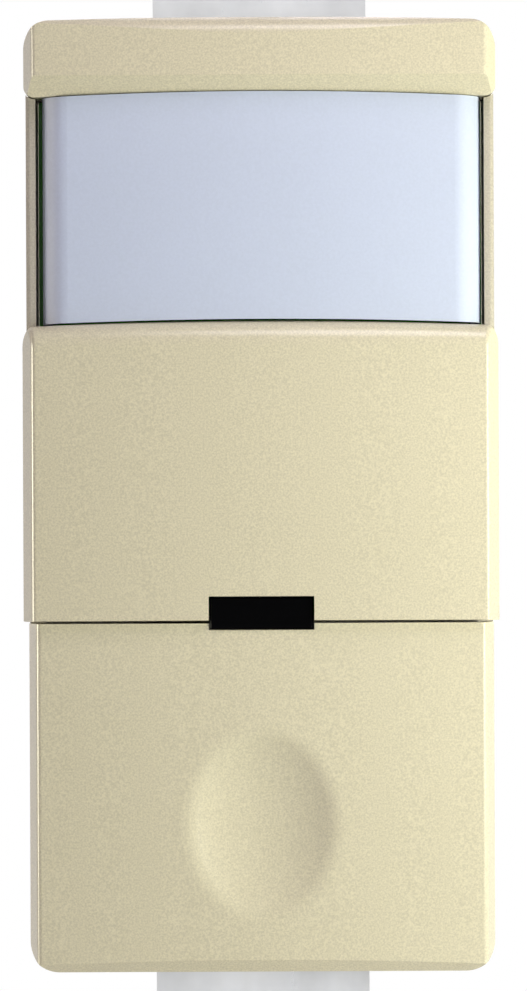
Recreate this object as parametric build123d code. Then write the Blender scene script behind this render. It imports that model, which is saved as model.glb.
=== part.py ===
from build123d import *
import os
from math import asin, cos, degrees, radians, sin, sqrt

# Occupancy sensor for a wall box, in millimetres.
# X points right and Z points up as seen from the room, and the front faces -Y.
# The origin lies midway between the two box screws, on the rear face of the mounting strap,
# so the plane Y = 0 is the wall.

# Face, from the top down
BAND_HEIGHT = 5.12
LENS_HEIGHT = 15.98
COVER_HEIGHT = 20.87
SEAM_GAP = 0.14
BUTTON_HEIGHT = 24.2

# Widths of the face pieces
BAND_WIDTH = 32.9
RAIL_SPAN = 32.6
COVER_WIDTH = 33.15
BUTTON_WIDTH = 32.4
LENS_WIDTH = 30.5
RAIL_THICKNESS = 0.68
RAIL_ROUND = 0.35
LENS_OFFSET = 0.1

# Depths, each the Y of a front surface on the centre line
COVER_FRONT = -9.0
BAND_FRONT = -8.75
BUTTON_FRONT = -8.55
LENS_FRONT = -7.9
RAIL_FRONT = -6.5
FLANGE_FRONT = -3.1

# How far the crowned faces fall back from the centre line to their edges
CROWN = 0.35
LENS_CROWN = 0.55
EDGE_ROUND = 0.4

# Drafted sides: how far in the front edge lies
BAND_DRAFT = 0.66
COVER_DRAFT = 0.71
BUTTON_DRAFT = 0.6
DRAFT_DEPTH = 2.3

# Walls and gaps
SHELL = 0.9
CAVITY_DRAFT = 0.3
HOUSING_WALL = 0.8
SLIP = 0.22
TOUCH = 0.05
DECK_THICKNESS = 0.8

# Top cap
BEVEL_HEIGHT = 1.04
BEVEL_DEPTH = 1.0
CAP_CORNER = 1.9
CAP_LOWER_CORNER = 0.8
CAP_ARCH = 0.3
BAND_ARCH = 0.42
CAP_TOP_ROUND = 1.3

# Lens
LENS_SHEET = 0.6
LENS_CORNER = 1.9
LENS_RIBS = 9

# Access cover and its hinge
COVER_AXIS_DEPTH = 1.8
COVER_PIN_RADIUS = 0.4
COVER_EAR_RADIUS = 0.82
COVER_TURNING_GAP = 0.12
COVER_CORNER_WIDTH = 0.9
COVER_CORNER_HEIGHT = 1.4
RUNNING = 0.05

# Indicator window across the seam
WINDOW_WIDTH = 7.2
WINDOW_ABOVE = 1.68
WINDOW_BELOW = 0.4
WINDOW_SLIP = 0.06
WINDOW_RECESS = 0.3

# Push button
BUTTON_CORNER = 2.1
BUTTON_BEVEL = 0.87
BUTTON_BEVEL_DEPTH = 0.9
BUTTON_SWING = 2.5
BUTTON_PIVOT_DROP = 1.5
BUTTON_PIVOT_Y = -5.3
BUTTON_PIN_RADIUS = 0.8
DIMPLE_WIDTH = 10.3
DIMPLE_HEIGHT = 12.9
DIMPLE_DEPTH = 1.05
DIMPLE_DROP = 13.94
DIMPLE_RIM = 3.0

# Mounting strap
STRAP_THICKNESS = 1.3
STRAP_LENGTH = 106.4
STRAP_WIDTH = 31.0
STRAP_NECK = 15.0
STRAP_EAR_WIDTH = 33.0
STRAP_EAR_GAP = 3.445
STRAP_EAR_CORNER = 2.2
STRAP_CORNER = 1.5
STRAP_NECK_FILLET = 0.9
STRAP_OPENING_INSET = 5.2
STRAP_OPENING_CORNER = 1.0
EAR_SCORE_X = 11.0
EAR_SCORE_WIDTH = 0.5
EAR_SCORE_DEPTH = 0.4
BOX_SCREW_SPACING = 83.3
BOX_HOLE_RADIUS = 2.2
PLATE_SCREW_SPACING = 96.8
PLATE_HOLE_RADIUS = 1.385
GROUND_TAB_DROP = 2.6
GROUND_TAB_X = -10.5
GROUND_TAB_WIDTH = 8.0
GROUND_TAB_DEPTH = 9.0
GROUND_SCREW_Y = 4.9
GROUND_SCREW_RADIUS = 1.7
GROUND_WASHER_RADIUS = 3.6
GROUND_WASHER_HEIGHT = 0.8
GROUND_HEX_RADIUS = 3.1
GROUND_HEAD_HEIGHT = 2.6
SCREW_SLOT_WIDTH = 1.0

# Sensor
SENSOR_OPENING = 14.0
SENSOR_CAN_RADIUS = 4.1
SENSOR_RIM_RADIUS = 4.6
SENSOR_CAN_HEIGHT = 4.2
SENSOR_CAN_WALL = 0.25
SENSOR_CAN_ROOF = 0.3
SENSOR_RIM_HEIGHT = 0.5
SENSOR_LEAD_CIRCLE = 2.54
SENSOR_LEAD_RADIUS = 0.22
FILTER_WIDTH = 4.0
FILTER_HEIGHT = 3.0
FILTER_LAP = 0.5
FILTER_THICKNESS = 0.3

# Boards
BOARD_THICKNESS = 1.5
BOARD_SLIP = 0.1
SENSOR_BOARD_THICKNESS = 1.0
SENSOR_BOARD_HALF_HEIGHT = 6.5
INSULATOR = 0.3
SENSOR_BOARD_Y = 2.6
POWER_BOARD_Y = 20.0
POWER_BOARD_WIDTH = 20.8
POWER_BOARD_THICKNESS = 1.6
PIN_SIDE = 0.64
PIN_SLIP = 0.03
SENSOR_PIN_X = 8.2
LINK_PITCH = 2.54
LINK_DROP = 16.5

# Rear housing
BODY_WIDTH = 32.0
BODY_DEPTH = 29.0
BODY_WALL = 1.4
BODY_CORNER = 2.0
BODY_INSET = 0.35
BODY_BACK_WALL = 1.6
BODY_REAR_ROUND = 1.2
VENT_COUNT = 7
VENT_PITCH = 3.2
VENT_HEIGHT = 1.2
VENT_WIDTH = 12.0
VENT_Z = 16.0

# Housing screws
SCREW_X = 12.4
SCREW_RADIUS = 0.95
SCREW_HEAD_RADIUS = 1.6
SCREW_SEAT_Y = 6.0
BOSS_RADIUS = 2.3
BOSS_FRONT = -5.6
SCREW_HEAD_HEIGHT = 1.6
SCREW_RECESS_WIDTH = 0.56
SCREW_RECESS_LENGTH = 2.4

# Terminals
TERMINAL_PITCH = 18.0
TERMINAL_Y = 14.5
POCKET_LENGTH = 10.0
POCKET_DEPTH = 3.8
TERMINAL_HEAD_RADIUS = 3.1
TERMINAL_SCREW_RADIUS = 1.7
TERMINAL_HEAD_HEIGHT = 1.9
TERMINAL_PLATE = 0.9
TERMINAL_PLATE_HALF = 3.6
WIRE_GAP = 0.6
TAIL_THICKNESS = 0.8
TAIL_HALF_WIDTH = 1.5

# Trimmers and the mode switch
DIAL_RADIUS = 2.3
DIAL_FRONT = -6.7
TRIMMER_SIZE = 6.6
TRIMMER_HEIGHT = 1.7
SPINDLE_RADIUS = 1.2
DIAL_SLOT_WIDTH = 0.7
DIAL_SLOT_DEPTH = 0.7
MODE_TRAVEL = 2.0
MODE_BODY_LENGTH = 10.0
MODE_BODY_HEIGHT = 4.4
SLIDER_WIDTH = 1.7
SLIDER_HEIGHT = 2.0
SLIDER_GRIP_WIDTH = 0.24
SLIDER_GRIP_DEPTH = 0.25
SLIDER_NECK = 0.4

# Push switch under the dimple
SWITCH_SIZE = 6.2
SWITCH_BODY_FRONT = -5.9
SWITCH_FLOOR = 0.6
PLUNGER_RADIUS = 1.7
PLUNGER_FRONT = -6.55
PRESS_GAP = 0.1

# Return spring
SPRING_RADIUS = 2.2
SPRING_WIRE = 0.38
SPRING_TURNS = 4
SPRING_DROP = 20.2

# Relay
RELAY_HALF_WIDTH = 7.6
RELAY_LENGTH = 19.0
RELAY_FRONT = 5.2
RELAY_WALL = 0.7
RELAY_BASE = 2.2
COIL_RADIUS = 4.4
CORE_RADIUS = 1.6
CORE_FRONT = 8.6
YOKE_THICKNESS = 1.2
YOKE_GAP = 0.15
ARMATURE_SWING = 3.0
ARMATURE_THICKNESS = 1.0
ARMATURE_HALF_WIDTH = 4.2
YOKE_HALF_WIDTH = 4.5
COIL_FLANGE = 0.7
CORE_HEAD_RADIUS = 2.8
CORE_HEAD_HEIGHT = 0.5
CONTACT_RADIUS = 0.8
CONTACT_REACH = 7.1
CONTACT_GAP = 0.38
BLADE_THICKNESS = 0.3
BLADE_HALF_WIDTH = 1.6
BLADE_RISE = 2.9

# Parts on the power board
FILM_LENGTH = 13.0
FILM_HEIGHT = 6.5
FILM_DEPTH = 10.5
ELECTROLYTIC_RADIUS = 4.0
ELECTROLYTIC_LENGTH = 12.5
ELECTROLYTIC_X = 5.4
VARISTOR_RADIUS = 4.2
VARISTOR_THICKNESS = 3.4
RECTIFIER_LENGTH = 8.4
RECTIFIER_HEIGHT = 4.8
RECTIFIER_DEPTH = 2.6
PART_SEAT = 0.02

# Places that follow from the sizes above
FACE_HEIGHT = BAND_HEIGHT + LENS_HEIGHT + COVER_HEIGHT + SEAM_GAP + BUTTON_HEIGHT
Z_TOP = FACE_HEIGHT / 2
Z_BAND = Z_TOP - BAND_HEIGHT
Z_COVER_TOP = Z_BAND - LENS_HEIGHT
Z_COVER_BOTTOM = Z_COVER_TOP - COVER_HEIGHT
Z_BUTTON_TOP = Z_COVER_BOTTOM - SEAM_GAP
Z_BUTTON_BOTTOM = Z_BUTTON_TOP - BUTTON_HEIGHT
STRAP_FRONT = -STRAP_THICKNESS
BOARD_BACK = STRAP_FRONT - INSULATOR
BOARD_FRONT = BOARD_BACK - BOARD_THICKNESS
RAIL_OUTER = RAIL_SPAN / 2
RAIL_INNER = RAIL_OUTER - RAIL_THICKNESS
COVER_AXIS_Y = COVER_FRONT + COVER_AXIS_DEPTH
COVER_AXIS_Z = Z_COVER_TOP - COVER_AXIS_DEPTH
COVER_INNER = COVER_WIDTH / 2 - SHELL
COVER_WALL_OUTER = COVER_INNER - SLIP
COVER_WALL_INNER = COVER_WALL_OUTER - HOUSING_WALL
COVER_BACK = FLANGE_FRONT - 0.5
DIAL_PITCH = TRIMMER_SIZE + (2 * COVER_WALL_INNER - 3 * TRIMMER_SIZE) / 4
BUTTON_INNER = BUTTON_WIDTH / 2 - SHELL
BUTTON_WALL_OUTER = BUTTON_INNER - SLIP
BUTTON_WALL_INNER = BUTTON_WALL_OUTER - HOUSING_WALL - 0.15
BUTTON_PIVOT_Z = Z_BUTTON_TOP - BUTTON_PIVOT_DROP
BUTTON_BACK = FLANGE_FRONT - 1.5
DIMPLE_Z = Z_BUTTON_TOP - DIMPLE_DROP
SPRING_Z = Z_BUTTON_TOP - SPRING_DROP
COVER_DECK_FRONT = DIAL_FRONT + 0.9
BUTTON_DECK_FRONT = -5.2
WINDOW_TOP = Z_COVER_BOTTOM + WINDOW_ABOVE
WINDOW_BOTTOM = Z_BUTTON_TOP - WINDOW_BELOW
WINDOW_FRONT = COVER_FRONT + WINDOW_RECESS
LENS_FLOOR = Z_COVER_TOP - CROWN - TOUCH
SHELF_BOTTOM = LENS_FLOOR - HOUSING_WALL
SENSOR_Z = (Z_BAND + Z_COVER_TOP) / 2
DIAL_Z = Z_COVER_TOP - 8.5
MODE_Z = Z_COVER_TOP - 15.0
BODY_TOP = Z_TOP - BODY_INSET
BODY_BOTTOM = Z_BUTTON_BOTTOM + BODY_INSET
FLANGE_TOP = Z_TOP - 0.55
FLANGE_BOTTOM = Z_BUTTON_BOTTOM + 0.5
CARRIER_BOTTOM = Z_BAND + SHELL + 0.2
CARRIER_TOP = Z_TOP - SHELL - CAP_ARCH - SLIP
SCREW_TOP_Z = (CARRIER_BOTTOM + CARRIER_TOP) / 2
SCREW_BOTTOM_Z = Z_BUTTON_BOTTOM + 3.75
BODY_HALF = BODY_WIDTH / 2
STRAP_EAR_START = Z_TOP + STRAP_EAR_GAP
GROUND_TAB_Z = -STRAP_EAR_START - GROUND_TAB_DROP
LINK_PIN_Z = DIAL_Z - LINK_DROP
POCKET_Y0 = TERMINAL_Y - POCKET_LENGTH / 2
POCKET_Y1 = TERMINAL_Y + POCKET_LENGTH / 2
POCKET_FLOOR = BODY_HALF - POCKET_DEPTH
TAIL_Y = POCKET_Y1 - 2.6
RELAY_Z0 = DIAL_Z + 4.2
COIL_Z = RELAY_Z0 + 6.2
YOKE_Z = RELAY_Z0 + 12.4
RELAY_FLOOR = POWER_BOARD_Y - RELAY_BASE - PART_SEAT
YOKE_TOP = YOKE_Z + YOKE_THICKNESS
ARMATURE_REACH = YOKE_TOP - COIL_Z + CORE_HEAD_RADIUS
CORE_GAP = radians(ARMATURE_SWING) * ARMATURE_REACH + 2 * RUNNING
PIVOT_Y = CORE_FRONT - CORE_GAP
PLUNGER_TRAVEL = radians(BUTTON_SWING) * (BUTTON_PIVOT_Z - DIMPLE_Z)
STRAP_OPENING_X = STRAP_WIDTH / 2 - STRAP_OPENING_INSET
UPPER_OPENING = (DIAL_Z + 4.0, Z_BAND + 1.2)
LOWER_OPENING = (SPRING_Z + 3.0, DIAL_Z - 1.0)
TAIL_X = POCKET_FLOOR - BODY_WALL - 1.2
BOARD_NARROW = min(BUTTON_WALL_INNER, COVER_WALL_INNER) - BOARD_SLIP


def block(x0, x1, y0, y1, z0, z1):
    centre = Location(((x0 + x1) / 2, (y0 + y1) / 2, (z0 + z1) / 2))
    return centre * Box(x1 - x0, y1 - y0, z1 - z0)


def rod_x(y, z, radius, x0, x1):
    frame = Plane(origin=(x0, y, z), x_dir=(0, 1, 0), z_dir=(1, 0, 0))
    return frame * Cylinder(radius, x1 - x0, align=(Align.CENTER, Align.CENTER, Align.MIN))


def rod_y(x, z, radius, y0, y1):
    frame = Plane(origin=(x, y0, z), x_dir=(1, 0, 0), z_dir=(0, 1, 0))
    return frame * Cylinder(radius, y1 - y0, align=(Align.CENTER, Align.CENTER, Align.MIN))


def rod_z(x, y, radius, z0, z1):
    return Location((x, y, z0)) * Cylinder(radius, z1 - z0, align=(Align.CENTER, Align.CENTER, Align.MIN))


def both_sides(shape):
    return shape + mirror(shape, about=Plane.YZ)


def face_plate(sketch, y0, y1):
    """A front view outline, drawn in X and Z, made solid from y0 back to y1."""
    frame = Plane(origin=(0, y1, 0), x_dir=(1, 0, 0), z_dir=(0, -1, 0))
    return extrude(frame * sketch, amount=y1 - y0)


def side_prism(points, x0, x1):
    """A side view outline, points of Y and Z, made solid from x0 to x1."""
    frame = Plane(origin=(x0, 0, 0), x_dir=(0, 1, 0), z_dir=(1, 0, 0))
    return extrude(frame * make_face(Polyline(*points, close=True)), amount=x1 - x0)


def arched_outline(half, top, top_drop, bottom, bottom_drop):
    """A front view outline whose top and bottom edges are arcs, highest on the centre line."""
    upper = ThreePointArc((-half, top - top_drop), (0, top), (half, top - top_drop))
    lower = ThreePointArc((half, bottom - bottom_drop), (0, bottom), (-half, bottom - bottom_drop))
    right = Line((half, top - top_drop), (half, bottom - bottom_drop))
    left = Line((-half, bottom - bottom_drop), (-half, top - top_drop))
    return make_face([upper, right, lower, left])


def rounded_rectangle(x0, x1, z0, z1, radius):
    return Location(((x0 + x1) / 2, (z0 + z1) / 2)) * RectangleRounded(x1 - x0, z1 - z0, radius)


def crowned_section(half, draft, front, back, crown=CROWN, rounding=EDGE_ROUND):
    """A plan section: crowned front, drafted shoulders and straight sides."""
    edge = half - draft
    shoulder = front + crown + DRAFT_DEPTH
    crown_arc = ThreePointArc((-edge, front + crown), (0, front), (edge, front + crown))
    rest = Polyline(
        (edge, front + crown),
        (half, shoulder),
        (half, back),
        (-half, back),
        (-half, shoulder),
        (-edge, front + crown),
    )
    section = make_face([crown_arc, rest])
    if rounding == 0:
        return section
    corners = [v for v in section.vertices() if v.Y < shoulder - 0.01]
    return fillet(corners, rounding)


def column(section, z0, z1):
    """A plan section made solid from z0 up to z1."""
    return extrude(Location((0, 0, z0)) * section, amount=z1 - z0)


def make_strap():
    ear = rounded_rectangle(
        -STRAP_EAR_WIDTH / 2, STRAP_EAR_WIDTH / 2, STRAP_EAR_START, STRAP_LENGTH / 2, STRAP_EAR_CORNER
    )
    middle = rounded_rectangle(-STRAP_WIDTH / 2, STRAP_WIDTH / 2, BODY_BOTTOM, BODY_TOP, STRAP_CORNER)
    neck_end = STRAP_EAR_START + 1
    neck = rounded_rectangle(-STRAP_NECK / 2, STRAP_NECK / 2, -neck_end, neck_end, STRAP_THICKNESS / 2)
    outline = middle + neck + ear + mirror(ear, about=Plane.XZ)
    strap = face_plate(outline, STRAP_FRONT, 0)
    inner_corners = [
        e
        for e in strap.edges().filter_by(Axis.Y)
        if abs(abs(e.center().X) - STRAP_NECK / 2) < 0.01 and abs(e.center().Z) < STRAP_EAR_START + 0.1
    ]
    strap = fillet(inner_corners, STRAP_NECK_FILLET)
    for z0, z1 in (UPPER_OPENING, LOWER_OPENING):
        opening = rounded_rectangle(-STRAP_OPENING_X, STRAP_OPENING_X, z0, z1, STRAP_OPENING_CORNER)
        strap -= face_plate(opening, -2, 1)
    for side in (-1, 1):
        strap -= rod_y(0, side * BOX_SCREW_SPACING / 2, BOX_HOLE_RADIUS, -2, 1)
        strap -= rod_y(0, side * PLATE_SCREW_SPACING / 2, PLATE_HOLE_RADIUS, -2, 1)
        for z in (SCREW_TOP_Z, SCREW_BOTTOM_Z):
            strap -= rod_y(side * SCREW_X, z, SCREW_RADIUS + SLIP, -2, 1)
    for side in (-1, 1):
        for x in (-EAR_SCORE_X, EAR_SCORE_X):
            z0, z1 = sorted((side * (STRAP_EAR_START - 1), side * (STRAP_LENGTH / 2 + 1)))
            half = EAR_SCORE_WIDTH / 2
            strap -= block(x - half, x + half, -EAR_SCORE_DEPTH, 1, z0, z1)
    return strap + make_ground_tab()


def make_ground_tab():
    """The tab bent back from the lower ear, tapped for the ground screw."""
    tab = block(
        GROUND_TAB_X - GROUND_TAB_WIDTH / 2,
        GROUND_TAB_X + GROUND_TAB_WIDTH / 2,
        STRAP_FRONT,
        GROUND_TAB_DEPTH,
        GROUND_TAB_Z,
        GROUND_TAB_Z + STRAP_THICKNESS,
    )
    hole_radius = GROUND_SCREW_RADIUS + RUNNING
    hole = rod_z(GROUND_TAB_X, GROUND_SCREW_Y, hole_radius, GROUND_TAB_Z - 1, GROUND_TAB_Z + 3)
    return tab - hole


def make_ground_screw():
    """A slotted hexagon washer-head screw, pointing up through the tab."""
    x, y = GROUND_TAB_X, GROUND_SCREW_Y
    seat = GROUND_TAB_Z - PART_SEAT
    head_end = seat - GROUND_HEAD_HEIGHT
    screw = rod_z(x, y, GROUND_WASHER_RADIUS, seat - GROUND_WASHER_HEIGHT, seat)
    hexagon = RegularPolygon(GROUND_HEX_RADIUS, 6)
    washer_middle = seat - GROUND_WASHER_HEIGHT / 2
    screw += extrude(Location((x, y, head_end)) * hexagon, amount=washer_middle - head_end)
    screw += rod_z(x, y, GROUND_SCREW_RADIUS, washer_middle, GROUND_TAB_Z + STRAP_THICKNESS + 1.1)
    half = SCREW_SLOT_WIDTH / 2
    return screw - block(x - 4, x + 4, y - half, y + half, head_end - 1, head_end + 0.9)


def make_top_cap():
    """The proud band over the lens: crowned, drafted, beveled below and open at the back."""
    half = BAND_WIDTH / 2
    back = FLANGE_FRONT - TOUCH
    low = Z_BAND - BAND_ARCH
    cap = column(crowned_section(half, BAND_DRAFT, BAND_FRONT, back), low, Z_TOP)
    outline = arched_outline(half, Z_TOP, CAP_ARCH, Z_BAND, BAND_ARCH)
    upper = outline.vertices().sort_by(Axis.Y)[-2:]
    outline = fillet(upper, CAP_CORNER)
    lower = outline.vertices().sort_by(Axis.Y)[:2]
    outline = fillet(lower, CAP_LOWER_CORNER)
    cap &= face_plate(outline, BAND_FRONT - 1, back)
    cap -= bevel_cutter()
    front_edge_z = Z_TOP - CAP_TOP_ROUND
    round_back = BAND_FRONT + CAP_TOP_ROUND
    round_cut = block(-half - 1, half + 1, BAND_FRONT - 1, round_back, front_edge_z, Z_TOP + 1)
    round_cut -= rod_x(round_back, front_edge_z, CAP_TOP_ROUND, -half - 1, half + 1)
    cap -= round_cut
    inner_section = crowned_section(half - SHELL, CAVITY_DRAFT, BAND_FRONT + SHELL, back + 1, rounding=0)
    cavity = column(inner_section, Z_BAND + SHELL + 0.1, Z_TOP - SHELL - CAP_ARCH)
    behind_bevel = BAND_FRONT + SHELL + BEVEL_DEPTH
    keep = block(-half, half, BAND_FRONT, behind_bevel, Z_BAND, Z_BAND + SHELL + BEVEL_HEIGHT)
    return cap - (cavity - keep)


def bevel_cutter():
    """Takes the lower front edge of the cap away at the bevel, following the crown."""
    slope = BEVEL_DEPTH / BEVEL_HEIGHT
    outline = make_face(
        Polyline(
            (BAND_FRONT - 1.0, Z_BAND - 1.0),
            (BAND_FRONT + BEVEL_DEPTH + slope, Z_BAND - 1.0),
            (BAND_FRONT, Z_BAND + BEVEL_HEIGHT),
            (BAND_FRONT - 1.0, Z_BAND + BEVEL_HEIGHT),
            close=True,
        )
    )
    edge = BAND_WIDTH / 2 - BAND_DRAFT
    radius = (edge**2 + CROWN**2) / (2 * CROWN)
    axis = Axis((0, BAND_FRONT + radius, 0), (0, 0, 1))
    turn = degrees(asin((BAND_WIDTH / 2 + 1) / radius))
    side_view = Plane(origin=(0, 0, 0), x_dir=(0, 1, 0), z_dir=(1, 0, 0))
    return revolve((side_view * outline).rotate(axis, -turn), axis, 2 * turn)


def lens_section(inset):
    """The lens in plan: crowned front, turned ends and short legs."""
    half = LENS_WIDTH / 2 - inset
    front = LENS_FRONT + inset
    back = BOARD_FRONT - 0.02
    crown_arc = ThreePointArc((-half, front + LENS_CROWN), (0, front), (half, front + LENS_CROWN))
    rest = Polyline((half, front + LENS_CROWN), (half, back), (-half, back), (-half, front + LENS_CROWN))
    section = make_face([crown_arc, rest])
    corners = [v for v in section.vertices() if v.Y < back - 0.01]
    return fillet(corners, LENS_CORNER - inset)


def make_lens():
    """A milky sheet with fine vertical ribs inside, arched above and below like its neighbours."""
    half = LENS_WIDTH / 2
    low = Z_COVER_TOP - CROWN + COVER_TURNING_GAP
    sheet = column(lens_section(0) - lens_section(LENS_SHEET), low - 1, Z_BAND)
    pitch = (LENS_WIDTH - 2 * LENS_CORNER) / LENS_RIBS
    groove_front = LENS_FRONT + LENS_SHEET - 0.12
    for i in range(1, LENS_RIBS):
        x = -half + LENS_CORNER + i * pitch
        sheet -= block(x - 0.08, x + 0.08, groove_front, LENS_FRONT + 2, low + CROWN + 0.8, Z_BAND - 0.8)
    outline = arched_outline(half + 1, Z_BAND - TOUCH, BAND_ARCH, low + CROWN, CROWN)
    return Location((LENS_OFFSET, 0, 0)) * (sheet & face_plate(outline, LENS_FRONT - 1, 0))


def make_front_housing():
    """The ivory moulding that stands on the strap and carries every front piece."""
    flange = face_plate(
        rounded_rectangle(-RAIL_OUTER + 0.05, RAIL_OUTER - 0.05, FLANGE_BOTTOM, FLANGE_TOP, 2.0),
        FLANGE_FRONT,
        STRAP_FRONT,
    )
    pocket = board_outline(0.08)
    housing = flange - face_plate(pocket, FLANGE_FRONT - 1, STRAP_FRONT + 1)
    rail_top = Z_BAND - BAND_ARCH - TOUCH
    rail_bottom = COVER_AXIS_Z + COVER_TURNING_GAP
    rail = block(RAIL_INNER, RAIL_OUTER, RAIL_FRONT, STRAP_FRONT, rail_bottom, rail_top + CAP_LOWER_CORNER)
    rail -= block(0, RAIL_INNER + RAIL_THICKNESS / 4, -7, FLANGE_FRONT, rail_top, Z_TOP)
    rail -= cap_corner_room(rail_top)
    outer_edge = rail.edges().filter_by(Axis.Z).group_by(Axis.X)[-1].sort_by(Axis.Y)[0]
    rail = fillet(outer_edge, RAIL_ROUND)
    turning_room = COVER_AXIS_DEPTH + COVER_TURNING_GAP
    rail -= rod_x(COVER_AXIS_Y, COVER_AXIS_Z, turning_room - CROWN, 0, COVER_WIDTH)
    housing += both_sides(rail)
    shelf = block(-RAIL_INNER, RAIL_INNER, RAIL_FRONT, FLANGE_FRONT, SHELF_BOTTOM, LENS_FLOOR)
    housing += shelf - rod_x(COVER_AXIS_Y, COVER_AXIS_Z, turning_room, -COVER_WIDTH, COVER_WIDTH)

    bay_bottom = Z_COVER_BOTTOM + 0.3
    wall_front = COVER_DECK_FRONT - 0.2
    wall_in, wall_out = COVER_WALL_INNER, COVER_WALL_OUTER
    bay_wall = block(wall_in, wall_out, wall_front, STRAP_FRONT, bay_bottom, SHELF_BOTTOM)
    ear_back = COVER_AXIS_Y + COVER_AXIS_DEPTH + COVER_TURNING_GAP
    bay_wall -= block(0, RAIL_OUTER, -7, ear_back, COVER_AXIS_Z - 0.2, Z_COVER_TOP)
    bay_wall += hinge_ear()
    housing += both_sides(bay_wall)
    deck_top = COVER_AXIS_Z - 2.3
    deck_back = COVER_DECK_FRONT + DECK_THICKNESS
    housing += block(-COVER_WALL_OUTER, COVER_WALL_OUTER, COVER_DECK_FRONT, deck_back, bay_bottom, deck_top)
    roof_low = deck_top - DECK_THICKNESS
    housing += block(-COVER_WALL_OUTER, COVER_WALL_OUTER, COVER_DECK_FRONT, FLANGE_FRONT, roof_low, deck_top)

    well_top = Z_BUTTON_TOP - 0.3
    well_bottom = Z_BUTTON_BOTTOM + SHELL + 0.35
    button_wall = block(BUTTON_WALL_INNER, BUTTON_WALL_OUTER, -6.5, STRAP_FRONT, well_bottom, well_top)
    button_wall -= block(0, RAIL_OUTER, -7, -5.4, well_bottom - 1, BUTTON_PIVOT_Z - 3.0)
    housing += both_sides(button_wall)
    deck_back = BUTTON_DECK_FRONT + DECK_THICKNESS
    x1 = BUTTON_WALL_OUTER
    housing += block(-x1, x1, BUTTON_DECK_FRONT, deck_back, well_bottom, well_top)
    x1 = min(BUTTON_WALL_OUTER, COVER_WALL_OUTER)
    housing += block(-x1, x1, BUTTON_DECK_FRONT, deck_back, well_top, bay_bottom)
    x1 = BUTTON_WALL_OUTER
    housing += block(-x1, x1, BUTTON_DECK_FRONT, STRAP_FRONT, well_bottom, well_bottom + DECK_THICKNESS)

    pin_hole_x = BUTTON_WALL_INNER - 0.3
    pin_hole_radius = BUTTON_PIN_RADIUS + RUNNING
    housing -= both_sides(rod_x(BUTTON_PIVOT_Y, BUTTON_PIVOT_Z, pin_hole_radius, pin_hole_x, RAIL_OUTER))

    housing += cap_carrier()
    for x in (-SCREW_X, SCREW_X):
        housing += rod_y(x, SCREW_BOTTOM_Z, BOSS_RADIUS, BOSS_FRONT, STRAP_FRONT)
        x0, x1 = x - BOSS_RADIUS, x + BOSS_RADIUS
        housing += block(x0, x1, BOSS_FRONT, FLANGE_FRONT, CARRIER_BOTTOM, CARRIER_TOP)
        for z in (SCREW_TOP_Z, SCREW_BOTTOM_Z):
            housing -= rod_y(x, z, SCREW_RADIUS + 0.02, BOSS_FRONT + 0.8, 1)

    for i in (-1, 0, 1):
        housing -= rod_y(i * DIAL_PITCH, DIAL_Z, DIAL_RADIUS + 0.2, -8, FLANGE_FRONT)
    slot_x = MODE_TRAVEL + SLIDER_WIDTH / 2 + 0.4
    slot_z = SLIDER_HEIGHT / 2 + 0.3
    housing -= block(-slot_x, slot_x, -8, FLANGE_FRONT, MODE_Z - slot_z, MODE_Z + slot_z)
    half = SWITCH_SIZE / 2 + 0.3
    housing -= block(-half, half, -8, FLANGE_FRONT, DIMPLE_Z - half, DIMPLE_Z + half)
    housing -= window_block(WINDOW_SLIP, 0)
    light_x = WINDOW_WIDTH / 2 - 0.5
    housing -= block(-light_x, light_x, -8, FLANGE_FRONT, WINDOW_BOTTOM + 0.4, WINDOW_TOP - 0.4)
    housing -= rod_y(0, SPRING_Z, SPRING_RADIUS + 0.5, -8, BUTTON_DECK_FRONT + 0.4)
    return housing


def cap_corner_room(rail_top):
    """What the cap's rounded lower corner takes from the top of the rail."""
    x = BAND_WIDTH / 2 - CAP_LOWER_CORNER
    z = rail_top + TOUCH + CAP_LOWER_CORNER
    room = rod_y(x, z, CAP_LOWER_CORNER + TOUCH, RAIL_FRONT - 1, FLANGE_FRONT)
    return room + block(0, x, RAIL_FRONT - 1, FLANGE_FRONT, rail_top, Z_TOP) + block(
        0, RAIL_OUTER + 1, FLANGE_FRONT - TOUCH, STRAP_FRONT, rail_top, Z_TOP
    )


def hinge_ear():
    """A small ear with the hole for the cover's hinge pin, on a neck clear of the turning edge."""
    x0 = COVER_WALL_OUTER - 1.0
    x1 = COVER_WALL_OUTER - 0.15
    neck_front = COVER_FRONT + SHELL + CROWN + 0.12
    ear = rod_x(COVER_AXIS_Y, COVER_AXIS_Z, COVER_EAR_RADIUS, x0, x1)
    ear += side_prism(
        [
            (neck_front, COVER_AXIS_Z - 0.3),
            (COVER_AXIS_Y + 0.7, COVER_AXIS_Z - 0.3),
            (COVER_AXIS_Y + 1.9, COVER_AXIS_Z - 1.9),
            (COVER_AXIS_Y + 1.9, COVER_AXIS_Z - 3.4),
            (COVER_AXIS_Y + 0.9, COVER_AXIS_Z - 3.4),
            (neck_front, COVER_AXIS_Z - 1.2),
        ],
        x0,
        x1,
    )
    return ear - rod_x(COVER_AXIS_Y, COVER_AXIS_Z, COVER_PIN_RADIUS + RUNNING, x0 - 1, x1 + 1)


def cap_carrier():
    """The raised box that fills the top cap."""
    x1 = BAND_WIDTH / 2 - SHELL - SLIP
    z0, z1 = CARRIER_BOTTOM, CARRIER_TOP
    front = BAND_FRONT + SHELL + CROWN + 0.7
    wall = HOUSING_WALL
    shell = face_plate(rounded_rectangle(-x1, x1, z0, z1, 1.2), front, FLANGE_FRONT)
    hollow = rounded_rectangle(-x1 + wall, x1 - wall, z0 + wall, z1 - wall, 0.5)
    return shell - face_plate(hollow, front + wall, STRAP_FRONT)


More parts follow.
